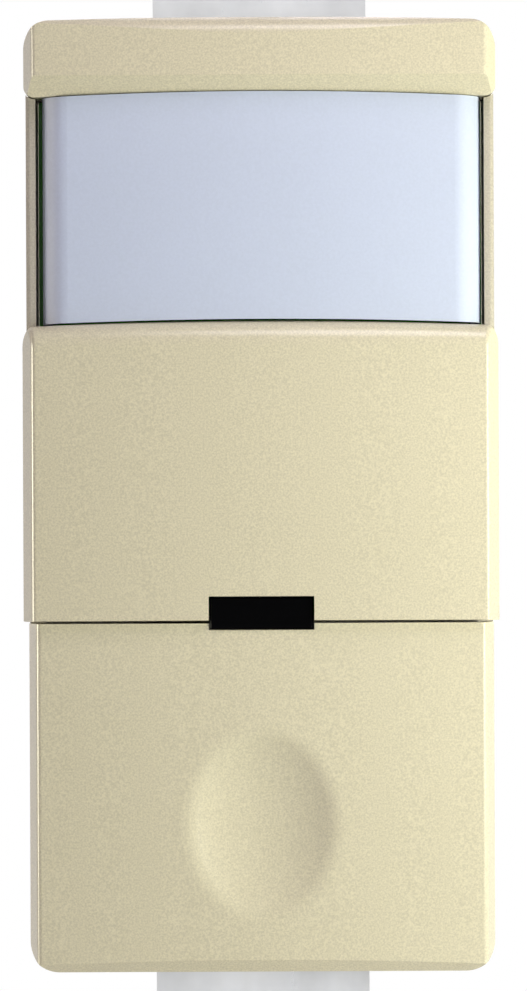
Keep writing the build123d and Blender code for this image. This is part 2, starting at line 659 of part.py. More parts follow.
def board_outline(grow):
    """The control board: wide behind the lens, narrower between the walls below."""
    wide = RAIL_INNER - BOARD_SLIP + grow
    narrow = BOARD_NARROW + grow
    step = SHELF_BOTTOM + BOARD_SLIP
    top = Z_BAND - BAND_ARCH - BOARD_SLIP
    low = SCREW_BOTTOM_Z + BOSS_RADIUS + SLIP
    upper = Polyline(
        (-wide, step - grow),
        (-wide, top + grow),
        (wide, top + grow),
        (wide, step - grow),
        (narrow, step - grow),
        (narrow, low - grow),
        (-narrow, low - grow),
        (-narrow, step - grow),
        close=True,
    )
    return make_face(upper)


def sensor_pin_places():
    return [(side * SENSOR_PIN_X, SENSOR_Z + k * LINK_PITCH) for side in (-1, 1) for k in (-1, 0, 1)]


def link_pin_places():
    return [((k - 2.5) * LINK_PITCH, LINK_PIN_Z) for k in range(6)]


def pin_hole(x, z):
    half = PIN_SIDE / 2 + PIN_SLIP
    return block(x - half, x + half, -5, 30, z - half, z + half)


def make_control_board():
    board = face_plate(board_outline(0), BOARD_FRONT, BOARD_BACK)
    half = SENSOR_OPENING / 2
    board -= face_plate(rounded_rectangle(-half, half, SENSOR_Z - half, SENSOR_Z + half, 1.0), -5, 0)
    for x, z in sensor_pin_places() + link_pin_places():
        board -= pin_hole(x, z)
    return board


def make_insulator():
    sheet = face_plate(board_outline(-0.3), BOARD_BACK, STRAP_FRONT)
    half = SENSOR_PIN_X + 1.0
    sheet -= face_plate(rounded_rectangle(-half, half, SENSOR_Z - 7.2, SENSOR_Z + 7.2, 0.5), -5, 0)
    sheet -= block(-8, 8, -5, 0, LINK_PIN_Z - 1.2, LINK_PIN_Z + 1.2)
    return sheet


def sensor_lead_places():
    """The sensor's three leads, on a circle."""
    r = SENSOR_LEAD_CIRCLE
    return [(r * cos(radians(a)), SENSOR_Z + r * sin(radians(a))) for a in (90, 210, 330)]


def make_sensor_board():
    half = SENSOR_PIN_X + 1.2
    z0 = SENSOR_Z - SENSOR_BOARD_HALF_HEIGHT
    z1 = SENSOR_Z + SENSOR_BOARD_HALF_HEIGHT
    plate = rounded_rectangle(-half, half, z0, z1, 0.6)
    board = face_plate(plate, SENSOR_BOARD_Y, SENSOR_BOARD_Y + SENSOR_BOARD_THICKNESS)
    for x, z in sensor_pin_places():
        board -= pin_hole(x, z)
    for x, z in sensor_lead_places():
        board -= rod_y(x, z, SENSOR_LEAD_RADIUS + PIN_SLIP, 0, 8)
    return board


def make_sensor_base():
    """The header disc of the sensor with its three leads."""
    rim_front = SENSOR_BOARD_Y - SENSOR_RIM_HEIGHT
    base = rod_y(0, SENSOR_Z, SENSOR_RIM_RADIUS, rim_front, SENSOR_BOARD_Y)
    plug_radius = SENSOR_CAN_RADIUS - SENSOR_CAN_WALL
    base += rod_y(0, SENSOR_Z, plug_radius, rim_front - SENSOR_RIM_HEIGHT, SENSOR_BOARD_Y)
    lead_end = SENSOR_BOARD_Y + SENSOR_BOARD_THICKNESS + 0.8
    for x, z in sensor_lead_places():
        base += rod_y(x, z, SENSOR_LEAD_RADIUS, rim_front, lead_end)
    return base


def make_sensor_can():
    y0 = SENSOR_BOARD_Y - SENSOR_CAN_HEIGHT
    y1 = SENSOR_BOARD_Y - SENSOR_RIM_HEIGHT
    can = rod_y(0, SENSOR_Z, SENSOR_CAN_RADIUS, y0, y1)
    can += rod_y(0, SENSOR_Z, SENSOR_RIM_RADIUS, y1 - SENSOR_CAN_ROOF, y1)
    can -= rod_y(0, SENSOR_Z, SENSOR_CAN_RADIUS - SENSOR_CAN_WALL, y0 + SENSOR_CAN_ROOF, y1 + 1)
    x = FILTER_WIDTH / 2
    z = FILTER_HEIGHT / 2
    return can - block(-x, x, y0 - 1, y0 + 1, SENSOR_Z - z, SENSOR_Z + z)


def make_sensor_filter():
    y0 = SENSOR_BOARD_Y - SENSOR_CAN_HEIGHT + SENSOR_CAN_ROOF
    x = FILTER_WIDTH / 2 + FILTER_LAP
    z = FILTER_HEIGHT / 2 + FILTER_LAP
    return block(-x, x, y0, y0 + FILTER_THICKNESS, SENSOR_Z - z, SENSOR_Z + z)


def make_header_pins():
    half = PIN_SIDE / 2
    pins = []
    for x, z in sensor_pin_places():
        pins.append(block(x - half, x + half, BOARD_FRONT - 0.5, SENSOR_BOARD_Y + 1.6, z - half, z + half))
    for x, z in link_pin_places():
        pins.append(block(x - half, x + half, BOARD_FRONT - 0.5, POWER_BOARD_Y + 2.4, z - half, z + half))
    return Compound(children=pins)


def window_block(grow, front_grow):
    """The window's block, widened by a gap where it is cut out of a neighbour."""
    half = WINDOW_WIDTH / 2 + grow
    back = BUTTON_DECK_FRONT + 0.5 + grow
    return block(-half, half, WINDOW_FRONT - front_grow, back, WINDOW_BOTTOM - grow, WINDOW_TOP + grow)


def make_window():
    """The black window, with a foot that seats behind it."""
    window = window_block(0, 0)
    front = window.faces().sort_by(Axis.Y)[0]
    return chamfer(front.edges(), 0.12)


def make_status_led():
    x = -1.9
    z = (WINDOW_TOP + WINDOW_BOTTOM) / 2
    return block(x - 0.8, x + 0.8, BOARD_FRONT - 0.9, BOARD_FRONT, z - 0.5, z + 0.5)


def make_photocell():
    x = 1.9
    z = (WINDOW_TOP + WINDOW_BOTTOM) / 2
    cell = block(x - 1.2, x + 1.2, BOARD_FRONT - 0.8, BOARD_FRONT, z - 0.9, z + 0.9)
    return cell + rod_y(x, z, 0.6, BOARD_FRONT - 1.1, BOARD_FRONT)


def cover_inner():
    return crowned_section(COVER_INNER, CAVITY_DRAFT, COVER_FRONT + SHELL, COVER_BACK + 1, rounding=0)


def turned_edge(section):
    """The part of a plan section in front of the hinge axis, turned about it up to the top edge."""
    reach = COVER_WIDTH
    behind = Location((0, COVER_AXIS_Y + reach / 2)) * Rectangle(2 * reach, reach)
    front_part = Location((0, 0, COVER_AXIS_Z)) * (section - behind)
    axis = Axis((0, COVER_AXIS_Y, COVER_AXIS_Z), (-1, 0, 0))
    return revolve(front_part, axis, 90)


def cover_top():
    """The cover above its hinge axis: the crown turned over, between flat drafted sides."""
    half = COVER_WIDTH / 2
    edge = half - COVER_DRAFT
    crown_radius = (edge**2 + CROWN**2) / (2 * CROWN)
    fall = crown_radius - sqrt(crown_radius**2 - half**2)
    straight = crowned_section(half, 0, COVER_FRONT, COVER_BACK, crown=fall, rounding=0)
    top = turned_edge(straight)
    cheek = rod_x(COVER_AXIS_Y, COVER_AXIS_Z, COVER_AXIS_DEPTH - fall, COVER_INNER, half)
    cheek &= block(0, half, COVER_AXIS_Y, 0, COVER_AXIS_Z, Z_COVER_TOP)
    top += both_sides(cheek)
    shoulder = COVER_FRONT + CROWN + DRAFT_DEPTH
    nose = COVER_FRONT - 1
    nose_half = half - COVER_DRAFT / DRAFT_DEPTH * (shoulder - nose)
    right = [(nose_half, nose), (half, shoulder), (half, COVER_BACK)]
    left = [(-x, y) for x, y in reversed(right)]
    drafted = make_face(Polyline(*right, *left, close=True))
    return top & column(drafted, COVER_AXIS_Z, Z_COVER_TOP)


def is_cover_side_edge(edge):
    """True for the long edge between the cover's face and a drafted side."""
    box = edge.bounding_box()
    slack = 0.05
    beside = min(abs(box.min.X), abs(box.max.X)) > COVER_WIDTH / 2 - COVER_DRAFT - slack
    on_face = box.min.Y < COVER_FRONT + CROWN + slack and box.max.Y < COVER_AXIS_Y + slack
    return beside and on_face and box.size.Z > EDGE_ROUND


def cover_corner():
    """What the elliptical upper right corner takes away, in the front view."""
    x1 = COVER_WIDTH / 2
    z1 = Z_COVER_TOP - CROWN
    x0 = x1 - COVER_CORNER_WIDTH
    z0 = z1 - COVER_CORNER_HEIGHT
    curve = EllipticalCenterArc((x0, z0), COVER_CORNER_WIDTH, COVER_CORNER_HEIGHT, arc_size=90)
    rest = Polyline((x0, z1), (x0, z1 + 1), (x1 + 1, z1 + 1), (x1 + 1, z0), (x1, z0))
    return face_plate(make_face([curve, rest]), COVER_FRONT - 1, 0)


def make_access_cover():
    """The lifting cover: crowned front, skirts over the housing walls, pins in the skirts."""
    section = crowned_section(COVER_WIDTH / 2, COVER_DRAFT, COVER_FRONT, COVER_BACK, rounding=0)
    body = column(section, Z_COVER_BOTTOM, COVER_AXIS_Z) + cover_top()
    side_edges = [e for e in body.edges() if is_cover_side_edge(e)]
    body = fillet(side_edges, EDGE_ROUND)
    body -= both_sides(cover_corner())
    body -= column(cover_inner(), Z_COVER_BOTTOM + SHELL, COVER_AXIS_Z)
    body -= turned_edge(cover_inner())
    inner = COVER_INNER
    body -= block(-inner, inner, COVER_AXIS_Y + 0.3, 0, Z_COVER_BOTTOM - 1, Z_COVER_BOTTOM + SHELL + 0.1)
    swing = COVER_AXIS_Z - Z_COVER_BOTTOM
    sector = rod_x(COVER_AXIS_Y, COVER_AXIS_Z, swing, -COVER_WIDTH, COVER_WIDTH)
    body &= sector
    pocket_x = COVER_WALL_OUTER - 1.2
    corner_pocket = rod_x(COVER_AXIS_Y, COVER_AXIS_Z, COVER_EAR_RADIUS + 0.13, pocket_x, inner)
    body -= both_sides(corner_pocket)
    body -= window_block(WINDOW_SLIP, 3)
    pin_start = COVER_WALL_OUTER - 0.95
    body += both_sides(rod_x(COVER_AXIS_Y, COVER_AXIS_Z, COVER_PIN_RADIUS, pin_start, COVER_WIDTH / 2 - 0.5))
    return body


def dimple_wheel():
    """A crowned wheel whose rim leaves an oval hollow of the dimple's width, height and depth."""
    half_width = DIMPLE_WIDTH / 2
    rim_radius = ((DIMPLE_HEIGHT / 2) ** 2 + DIMPLE_DEPTH**2) / (2 * DIMPLE_DEPTH)
    crown_radius = (half_width**2 + DIMPLE_DEPTH**2) / (2 * DIMPLE_DEPTH)
    half = half_width + 1.0
    edge_radius = rim_radius - crown_radius + sqrt(crown_radius**2 - half**2)
    hub_radius = rim_radius / 2
    rim = ThreePointArc((-half, -edge_radius), (0, -rim_radius), (half, -edge_radius))
    rest = Polyline((half, -edge_radius), (half, -hub_radius), (-half, -hub_radius), (-half, -edge_radius))
    hub_y = BUTTON_FRONT + DIMPLE_DEPTH - rim_radius
    frame = Plane(origin=(0, hub_y, DIMPLE_Z), x_dir=(1, 0, 0), z_dir=(0, -1, 0))
    return revolve(frame * make_face([rim, rest]), Axis((0, hub_y, DIMPLE_Z), (1, 0, 0)), 180)


def is_dimple_rim(edge):
    box = edge.bounding_box()
    centred = abs(box.center().Z - DIMPLE_Z) < 1.0 and abs(box.center().X) < 1.0
    in_front = box.max.Y < BUTTON_FRONT + CROWN
    return centred and in_front and 2.0 < box.size.Z < DIMPLE_HEIGHT + 2.0


def make_push_button():
    """The rocking button: crowned front, oval dimple, bevel below and pins near its top edge."""
    half = BUTTON_WIDTH / 2
    outer = crowned_section(half, BUTTON_DRAFT, BUTTON_FRONT, BUTTON_BACK)
    inner = crowned_section(BUTTON_INNER, CAVITY_DRAFT, BUTTON_FRONT + SHELL, BUTTON_BACK + 1, rounding=0)
    body = column(outer, Z_BUTTON_BOTTOM, Z_BUTTON_TOP)
    outline = make_face(
        Polyline(
            (-half, Z_BUTTON_TOP),
            (half, Z_BUTTON_TOP),
            (half, Z_BUTTON_BOTTOM),
            (-half, Z_BUTTON_BOTTOM),
            close=True,
        )
    )
    outline = fillet(outline.vertices().sort_by(Axis.Y)[:2], BUTTON_CORNER)
    body &= face_plate(outline, BUTTON_FRONT - 1, BUTTON_BACK)
    body -= side_prism(
        [
            (BUTTON_FRONT - 1, Z_BUTTON_BOTTOM - 1),
            (BUTTON_FRONT + BUTTON_BEVEL_DEPTH, Z_BUTTON_BOTTOM - 1),
            (BUTTON_FRONT + BUTTON_BEVEL_DEPTH, Z_BUTTON_BOTTOM),
            (BUTTON_FRONT, Z_BUTTON_BOTTOM + BUTTON_BEVEL),
            (BUTTON_FRONT - 1, Z_BUTTON_BOTTOM + BUTTON_BEVEL),
        ],
        -half - 1,
        half + 1,
    )
    body -= column(inner, Z_BUTTON_BOTTOM + SHELL + 0.2, Z_BUTTON_TOP - SHELL)
    lip_back = BUTTON_PIVOT_Y - 1.6
    body -= block(-BUTTON_INNER, BUTTON_INNER, lip_back, 0, Z_BUTTON_TOP - SHELL - 0.1, Z_BUTTON_TOP + 1)
    presser_front = BUTTON_FRONT + SHELL
    presser = rod_y(0, DIMPLE_Z, 3.2, presser_front - 0.2, PLUNGER_FRONT - PRESS_GAP)
    body += presser
    body += rod_y(0, SPRING_Z, SPRING_RADIUS - SPRING_WIRE - 0.15, presser_front - 0.2, presser_front + 0.8)
    body -= dimple_wheel()
    rim_edges = [e for e in body.edges() if is_dimple_rim(e)]
    body = fillet(rim_edges, DIMPLE_RIM)
    body -= window_block(WINDOW_SLIP, 3)
    pin = rod_x(BUTTON_PIVOT_Y, BUTTON_PIVOT_Z, BUTTON_PIN_RADIUS, BUTTON_WALL_INNER + 0.1, half - 0.4)
    body += both_sides(pin)
    return body


def make_return_spring():
    """A small compression spring in one unbroken wire, from the housing deck to the button."""
    y0 = BUTTON_FRONT + SHELL + 0.03 + SPRING_WIRE / 2
    y1 = BUTTON_DECK_FRONT + 0.37 - SPRING_WIRE / 2
    centre_radius = SPRING_RADIUS - SPRING_WIRE / 2
    path = Helix(pitch=(y1 - y0) / SPRING_TURNS, height=y1 - y0, radius=centre_radius)
    start = path @ 0
    wire = sweep(Plane(origin=start, z_dir=path % 0) * Circle(SPRING_WIRE / 2), path=path)
    gap = (y1 - y0) / SPRING_TURNS - SPRING_WIRE
    print("return spring, least gap between turns:", round(gap, 3))
    frame = Plane(origin=(0, y0, SPRING_Z), x_dir=(1, 0, 0), z_dir=(0, 1, 0))
    return frame * wire


def make_switch_body():
    half = SWITCH_SIZE / 2
    body = block(-half, half, SWITCH_BODY_FRONT, BOARD_FRONT, DIMPLE_Z - half, DIMPLE_Z + half)
    body = chamfer(body.edges().filter_by(Axis.Y), 0.4)
    body -= rod_y(0, DIMPLE_Z, PLUNGER_RADIUS + RUNNING, SWITCH_BODY_FRONT - 1, BOARD_FRONT - SWITCH_FLOOR)
    return body


def make_switch_plunger():
    back = BOARD_FRONT - SWITCH_FLOOR - PLUNGER_TRAVEL - SLIP
    plunger = rod_y(0, DIMPLE_Z, PLUNGER_RADIUS, PLUNGER_FRONT, back)
    return chamfer(plunger.edges().sort_by(Axis.Y)[:1], 0.25)


def make_trimmer_bodies():
    half = TRIMMER_SIZE / 2
    bodies = []
    for i in (-1, 0, 1):
        x = i * DIAL_PITCH
        front = BOARD_FRONT - TRIMMER_HEIGHT
        body = block(x - half, x + half, front, BOARD_FRONT, DIAL_Z - half, DIAL_Z + half)
        body = chamfer(body.edges().filter_by(Axis.Y), 0.5)
        body -= rod_y(x, DIAL_Z, SPINDLE_RADIUS + RUNNING, BOARD_FRONT - 3, BOARD_FRONT - 0.3)
        bodies.append(body)
    return Compound(children=bodies)


def make_dial(x):
    """A trimmer rotor: a disc with a slot that points to its setting, on a short spindle."""
    dial = rod_y(x, DIAL_Z, DIAL_RADIUS, DIAL_FRONT, BOARD_FRONT - TRIMMER_HEIGHT - 2 * RUNNING)
    dial = chamfer(dial.edges().sort_by(Axis.Y)[:1], 0.2)
    dial += rod_y(x, DIAL_Z, SPINDLE_RADIUS, BOARD_FRONT - TRIMMER_HEIGHT - 0.3, BOARD_FRONT - 0.5)
    half = DIAL_SLOT_WIDTH / 2
    slot_end = -0.7 * DIAL_RADIUS
    groove = block(-half, half, DIAL_FRONT - 1, DIAL_FRONT + DIAL_SLOT_DEPTH, slot_end, DIAL_RADIUS + 1)
    return dial - Location((x, 0, DIAL_Z)) * groove


def make_mode_body():
    x = MODE_BODY_LENGTH / 2
    z = MODE_BODY_HEIGHT / 2
    body = block(-x, x, BOARD_FRONT - TRIMMER_HEIGHT, BOARD_FRONT, MODE_Z - z, MODE_Z + z)
    slot_x = MODE_TRAVEL + SLIDER_WIDTH / 2 + 0.3
    slot_z = SLIDER_HEIGHT / 2 - SLIDER_NECK + RUNNING
    return body - block(-slot_x, slot_x, -9, BOARD_FRONT - 0.4, MODE_Z - slot_z, MODE_Z + slot_z)


def make_mode_slider():
    x = SLIDER_WIDTH / 2
    z = SLIDER_HEIGHT / 2
    front = DIAL_FRONT - 0.1
    back = BOARD_FRONT - TRIMMER_HEIGHT - RUNNING
    slider = block(-x, x, front, back, MODE_Z - z, MODE_Z + z)
    half = SLIDER_GRIP_WIDTH / 2
    for dx in (-x / 2, x / 2):
        slider -= block(dx - half, dx + half, -9, front + SLIDER_GRIP_DEPTH, MODE_Z - z - 1, MODE_Z + z + 1)
    z -= SLIDER_NECK
    return slider + block(-x, x, back - RUNNING, BOARD_FRONT - 0.5, MODE_Z - z, MODE_Z + z)


def terminal_places():
    """Side (-1 left, 1 right) and height of each terminal."""
    z = TERMINAL_PITCH / 2
    return [(-1, z), (-1, -z), (1, -z)]


def make_rear_housing():
    """The deep shell behind the strap, with side pockets for the terminals."""
    outline = rounded_rectangle(-BODY_HALF, BODY_HALF, BODY_BOTTOM, BODY_TOP, BODY_CORNER)
    outer = face_plate(outline, 0, BODY_DEPTH)
    rear_edges = outer.faces().sort_by(Axis.Y)[-1].edges()
    outer = fillet(rear_edges, BODY_REAR_ROUND)
    inner_half = BODY_HALF - BODY_WALL
    z0 = BODY_BOTTOM + BODY_WALL
    z1 = BODY_TOP - BODY_WALL
    inside = rounded_rectangle(-inner_half, inner_half, z0, z1, BODY_CORNER / 2)
    cavity = face_plate(inside, -1, BODY_DEPTH - BODY_BACK_WALL)
    corners = []
    for side in (-1, 1):
        for z in (SCREW_TOP_Z, SCREW_BOTTOM_Z):
            corners.append((side * SCREW_X, z))
    for x, z in corners:
        cavity -= rod_y(x, z, SCREW_HEAD_RADIUS + 1.3, -2, BODY_DEPTH)
    pocket_half = TERMINAL_HEAD_RADIUS + 1.2
    for side, z in terminal_places():
        x_in = POCKET_FLOOR - BODY_WALL
        x0, x1 = sorted((side * x_in, side * (BODY_HALF + 1)))
        y0, y1 = POCKET_Y0 - BODY_WALL, POCKET_Y1 + BODY_WALL
        cavity -= block(x0, x1, y0, y1, z - pocket_half - BODY_WALL, z + pocket_half + BODY_WALL)
    body = outer - cavity
    for x, z in corners:
        body -= rod_y(x, z, SCREW_RADIUS + SLIP, -1, BODY_DEPTH)
        body -= rod_y(x, z, SCREW_HEAD_RADIUS + SLIP, SCREW_SEAT_Y, BODY_DEPTH + 1)
    for side, z in terminal_places():
        x0, x1 = sorted((side * POCKET_FLOOR, side * (BODY_HALF + 1)))
        body -= block(x0, x1, POCKET_Y0, POCKET_Y1, z - pocket_half, z + pocket_half)
        x0, x1 = sorted((side * (POCKET_FLOOR + 1), side * (POCKET_FLOOR - BODY_WALL - 1)))
        body -= rod_x(TERMINAL_Y, z, TERMINAL_SCREW_RADIUS + SLIP, x0, x1)
        tail_z = TAIL_HALF_WIDTH + TOUCH
        body -= block(x0, x1, TAIL_Y - TOUCH, TAIL_Y + TAIL_THICKNESS + TOUCH, z - tail_z, z + tail_z)
    for k in range(VENT_COUNT):
        z = VENT_Z + (k - (VENT_COUNT - 1) / 2) * VENT_PITCH
        half = VENT_HEIGHT / 2
        body -= block(-VENT_WIDTH / 2, VENT_WIDTH / 2, BODY_DEPTH - 3, BODY_DEPTH + 1, z - half, z + half)
    return body


def make_terminal_plates():
    plates = []
    for side, z in terminal_places():
        x0 = POCKET_FLOOR + PART_SEAT
        x1 = POCKET_FLOOR + TERMINAL_PLATE
        half = TERMINAL_PLATE_HALF
        plate = block(x0, x1, POCKET_Y0 + WIRE_GAP, POCKET_Y1 - WIRE_GAP, z - half, z + half)
        plate -= rod_x(TERMINAL_Y, z, TERMINAL_SCREW_RADIUS + PIN_SLIP, 0, BODY_HALF)
        half = TAIL_HALF_WIDTH
        plate += block(TAIL_X, x1 - PART_SEAT, TAIL_Y, TAIL_Y + TAIL_THICKNESS, z - half, z + half)
        half = TAIL_HALF_WIDTH / 2
        plate += block(TAIL_X, TAIL_X + TAIL_THICKNESS, TAIL_Y, POWER_BOARD_Y + 2.2, z - half, z + half)
        plates.append(plate if side > 0 else mirror(plate, about=Plane.YZ))
    return Compound(children=plates)


def make_terminal_screws():
    screws = []
    for side, z in terminal_places():
        x0 = POCKET_FLOOR + TERMINAL_PLATE + WIRE_GAP
        x1 = x0 + TERMINAL_HEAD_HEIGHT
        head = rod_x(TERMINAL_Y, z, TERMINAL_HEAD_RADIUS, x0, x1)
        head = fillet(head.edges().sort_by(Axis.X)[-1:], 0.5)
        half = SCREW_SLOT_WIDTH / 2
        head -= block(x1 - 0.9, x1 + 1, TERMINAL_Y - 4, TERMINAL_Y + 4, z - half, z + half)
        screw = head + rod_x(TERMINAL_Y, z, TERMINAL_SCREW_RADIUS, POCKET_FLOOR - 1.0, x0)
        screws.append(screw if side > 0 else mirror(screw, about=Plane.YZ))
    return Compound(children=screws)


def make_housing_screws():
    screws = []
    for side in (-1, 1):
        for z in (SCREW_TOP_Z, SCREW_BOTTOM_Z):
            x = side * SCREW_X
            head_end = SCREW_SEAT_Y + SCREW_HEAD_HEIGHT
            screw = rod_y(x, z, SCREW_HEAD_RADIUS, SCREW_SEAT_Y + PART_SEAT, head_end)
            screw += rod_y(x, z, SCREW_RADIUS, BOSS_FRONT + 1.2, head_end - 1)
            for turn in (0, 90):
                half = SCREW_RECESS_WIDTH / 2
                reach = SCREW_RECESS_LENGTH / 2
                slot = block(-reach, reach, head_end - 0.8, head_end + 1, -half, half)
                screw -= Location((x, 0, z)) * Rotation(0, turn, 0) * slot
            screws.append(screw)
    return Compound(children=screws)


def make_power_board():
    half = POWER_BOARD_WIDTH / 2
    z0 = SCREW_BOTTOM_Z + 0.6
    z1 = SCREW_TOP_Z - 0.6
    board = block(-half, half, POWER_BOARD_Y, POWER_BOARD_Y + POWER_BOARD_THICKNESS, z0, z1)
    for side in (-1, 1):
        for z in (SCREW_TOP_Z, SCREW_BOTTOM_Z):
            board -= rod_y(side * SCREW_X, z, SCREW_HEAD_RADIUS + 1.5, POWER_BOARD_Y - 1, POWER_BOARD_Y + 3)
    for x, z in link_pin_places():
        board -= pin_hole(x, z)
    for side, z in terminal_places():
        x0, x1 = sorted((side * (TAIL_X - TOUCH), side * (TAIL_X + TAIL_THICKNESS + TOUCH)))
        half = TAIL_HALF_WIDTH / 2 + TOUCH
        board -= block(x0, x1, POWER_BOARD_Y - 1, POWER_BOARD_Y + 3, z - half, z + half)
    return board


def make_relay_base():
    """The relay's base plate on the board."""
    half = RELAY_HALF_WIDTH - RELAY_WALL - TOUCH
    z0 = RELAY_Z0 + RELAY_WALL + TOUCH
    z1 = RELAY_Z0 + RELAY_LENGTH - RELAY_WALL - TOUCH
    return block(-half, half, POWER_BOARD_Y - RELAY_BASE, POWER_BOARD_Y - PART_SEAT, z0, z1)


def make_relay_case():
    """A thin box over the relay, open towards the board."""
    half = RELAY_HALF_WIDTH
    z1 = RELAY_Z0 + RELAY_LENGTH
    case = block(-half, half, RELAY_FRONT, POWER_BOARD_Y - PART_SEAT, RELAY_Z0, z1)
    case = fillet(case.edges().filter_by(Axis.Y), 0.6)
    inner = half - RELAY_WALL
    z0 = RELAY_Z0 + RELAY_WALL
    return case - block(-inner, inner, RELAY_FRONT + RELAY_WALL, POWER_BOARD_Y + 1, z0, z1 - RELAY_WALL)


def make_relay_coil():
    """The bobbin and its winding, with the bore for the core."""
    y0 = CORE_FRONT + CORE_HEAD_HEIGHT + 0.1
    y1 = RELAY_FLOOR - YOKE_THICKNESS - PART_SEAT
    coil = rod_y(0, COIL_Z, COIL_RADIUS - 0.5, y0, y1)
    coil += rod_y(0, COIL_Z, COIL_RADIUS, y0, y0 + COIL_FLANGE)
    coil += rod_y(0, COIL_Z, COIL_RADIUS, y1 - COIL_FLANGE, y1)
    return coil - rod_y(0, COIL_Z, CORE_RADIUS + PART_SEAT, y0 - 1, y1 + 1)


def make_relay_core():
    core = rod_y(0, COIL_Z, CORE_RADIUS, CORE_FRONT, RELAY_FLOOR - YOKE_THICKNESS - PART_SEAT)
    return core + rod_y(0, COIL_Z, CORE_HEAD_RADIUS, CORE_FRONT, CORE_FRONT + CORE_HEAD_HEIGHT)


def make_relay_yoke():
    """The L of iron that joins the core's foot to the armature's edge."""
    half = YOKE_HALF_WIDTH
    foot = block(-half, half, RELAY_FLOOR - YOKE_THICKNESS, RELAY_FLOOR, COIL_Z - 3.5, YOKE_TOP)
    return foot + block(-half, half, PIVOT_Y + YOKE_GAP, RELAY_FLOOR, YOKE_Z, YOKE_TOP)


def make_relay_armature():
    """The rocking plate, its back edge on the yoke's front, with its contact spring."""
    front = PIVOT_Y - ARMATURE_THICKNESS
    half = ARMATURE_HALF_WIDTH
    plate = block(-half, half, front, PIVOT_Y, COIL_Z - CORE_HEAD_RADIUS, YOKE_TOP + 0.6)
    half = BLADE_HALF_WIDTH
    blade_z = YOKE_TOP + BLADE_RISE
    blade_front = front + (ARMATURE_THICKNESS - BLADE_THICKNESS) / 2
    spring = block(-half, half, blade_front, blade_front + BLADE_THICKNESS, YOKE_Z, blade_z)
    blade_back = front + CONTACT_REACH + CONTACT_RADIUS + 0.1
    spring += block(-half, half, blade_front, blade_back, blade_z - BLADE_THICKNESS, blade_z)
    spring += rod_z(0, front + CONTACT_REACH, CONTACT_RADIUS, blade_z - 0.05, blade_z + 0.45)
    return plate + spring


def make_relay_contacts():
    """The fixed contact on its blade, standing in the base."""
    contact_z = YOKE_TOP + BLADE_RISE + 0.45 + CONTACT_GAP
    z = contact_z + 0.35
    y = PIVOT_Y - ARMATURE_THICKNESS + CONTACT_REACH
    blade = block(-BLADE_HALF_WIDTH, BLADE_HALF_WIDTH, y - 1.2, RELAY_FLOOR, z, z + BLADE_THICKNESS)
    return blade + rod_z(0, y, CONTACT_RADIUS, contact_z, z + 0.1)


def make_film_capacitor():
    x1 = 3.5
    z1 = RELAY_Z0 - 1.0
    y0 = POWER_BOARD_Y - FILM_DEPTH
    box = block(x1 - FILM_LENGTH, x1, y0, POWER_BOARD_Y - PART_SEAT, z1 - FILM_HEIGHT, z1)
    return fillet(box.edges(), 0.4)


def make_electrolytics():
    cans = []
    y0 = POWER_BOARD_Y - ELECTROLYTIC_LENGTH
    for x in (-ELECTROLYTIC_X, ELECTROLYTIC_X):
        can = rod_y(x, SPRING_Z + 6.0, ELECTROLYTIC_RADIUS, y0, POWER_BOARD_Y - PART_SEAT)
        cans.append(fillet(can.edges().sort_by(Axis.Y)[:1], 0.6))
    return Compound(children=cans)


def make_varistor():
    x0 = 5.0
    y = POWER_BOARD_Y - VARISTOR_RADIUS - 1.4
    disc = rod_x(y, RELAY_Z0 - VARISTOR_RADIUS, VARISTOR_RADIUS, x0, x0 + VARISTOR_THICKNESS)
    return fillet(disc.edges(), 0.8)


def make_rectifier():
    half = RECTIFIER_LENGTH / 2
    z0 = LINK_PIN_Z + 1.8
    y0 = POWER_BOARD_Y - RECTIFIER_DEPTH
    body = block(-half, half, y0, POWER_BOARD_Y - PART_SEAT, z0, z0 + RECTIFIER_HEIGHT)
    return chamfer(body.edges().filter_by(Axis.X), 0.5)


def make_parts():
    dials = {"time_dial": -DIAL_PITCH, "range_dial": 0, "light_dial": DIAL_PITCH}
    parts = {
        "mounting_strap": make_strap(),
        "ground_screw": make_ground_screw(),
        "front_housing": make_front_housing(),
        "top_cap": make_top_cap(),
        "lens": make_lens(),
        "indicator_window": make_window(),
        "control_board": make_control_board(),
        "insulator_sheet": make_insulator(),
        "sensor_board": make_sensor_board(),
        "sensor_base": make_sensor_base(),
        "sensor_can": make_sensor_can(),
        "sensor_filter": make_sensor_filter(),
        "header_pins": make_header_pins(),
        "status_led": make_status_led(),
        "photocell": make_photocell(),
        "access_cover": make_access_cover(),
        "push_button": make_push_button(),
        "return_spring": make_return_spring(),
        "switch_body": make_switch_body(),
        "switch_plunger": make_switch_plunger(),
        "trimmer_bodies": make_trimmer_bodies(),
        "mode_switch_body": make_mode_body(),
        "mode_slider": make_mode_slider(),
        "rear_housing": make_rear_housing(),
        "terminal_plates": make_terminal_plates(),
        "terminal_screws": make_terminal_screws(),
        "housing_screws": make_housing_screws(),
        "power_board": make_power_board(),
        "relay_base": make_relay_base(),
        "relay_case": make_relay_case(),
        "relay_coil": make_relay_coil(),
        "relay_core": make_relay_core(),
        "relay_yoke": make_relay_yoke(),
        "relay_armature": make_relay_armature(),
        "relay_contacts": make_relay_contacts(),
        "film_capacitor": make_film_capacitor(),
        "electrolytic_capacitors": make_electrolytics(),
        "varistor": make_varistor(),
        "rectifier": make_rectifier(),
    }
    for name, x in dials.items():
        parts[name] = make_dial(x)
    return parts


os.makedirs("parts", exist_ok=True)
for node, shape in make_parts().items():
    export_step(shape, f"parts/{node}.step")
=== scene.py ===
import math

